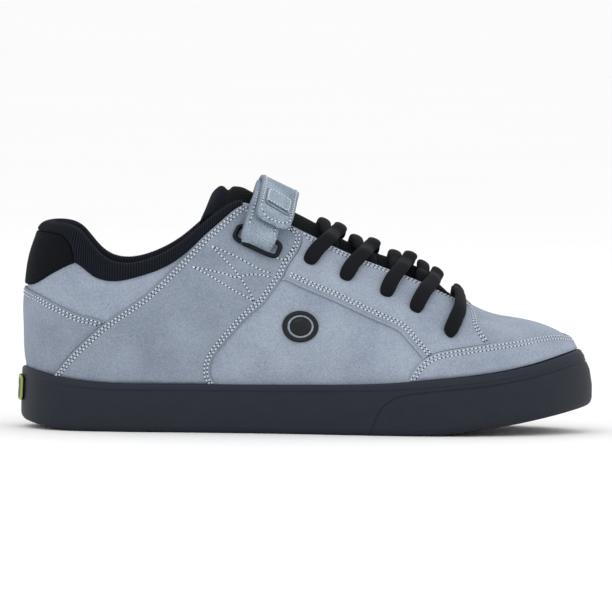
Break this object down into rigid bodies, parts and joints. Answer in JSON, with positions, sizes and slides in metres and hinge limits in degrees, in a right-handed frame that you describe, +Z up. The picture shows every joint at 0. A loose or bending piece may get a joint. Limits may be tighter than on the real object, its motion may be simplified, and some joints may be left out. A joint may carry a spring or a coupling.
{
  "type": "skateboarding shoe",
  "caption": "Low laced skateboarding shoe for the right foot, with suede panels, a padded collar, a puffy tongue, an instep strap through wire rings and a cup sole",
  "frame": {"origin": "middle of the heel's flat underside, on the floor", "axes": "+X toward the toe, +Y toward the inner side of the foot, +Z up"},
  "size_m": [0.2967, 0.1055, 0.1277],
  "materials": {
    "suede": "napped suede",
    "strap_suede": "napped suede",
    "rubber": "satin moulded",
    "gloss_rubber": "glossy moulded",
    "black_fabric": "matte knit",
    "label_rubber": "satin moulded",
    "metal": "dark plated wire"
  },
  "bodies": {
    "root": {"outsole": "rubber", "heel_label": "label_rubber", "upper": "suede", "insole": "black_fabric", "saddle_lateral": "suede", "saddle_medial": "suede", "eyestay_lateral": "suede", "eyestay_medial": "suede", "toe_guard": "suede", "heel_counter": "suede", "heel_tab": "black_fabric", "collar_cuff": "black_fabric", "side_badge": "gloss_rubber", "tongue": "black_fabric", "strap": "strap_suede", "strap_ring_lateral": "metal", "strap_ring_medial": "metal", "lace_cross_1": "black_fabric", "lace_cross_2": "black_fabric", "lace_cross_3": "black_fabric", "lace_cross_4": "black_fabric", "lace_bar": "black_fabric"}
  },
  "joints": []
}
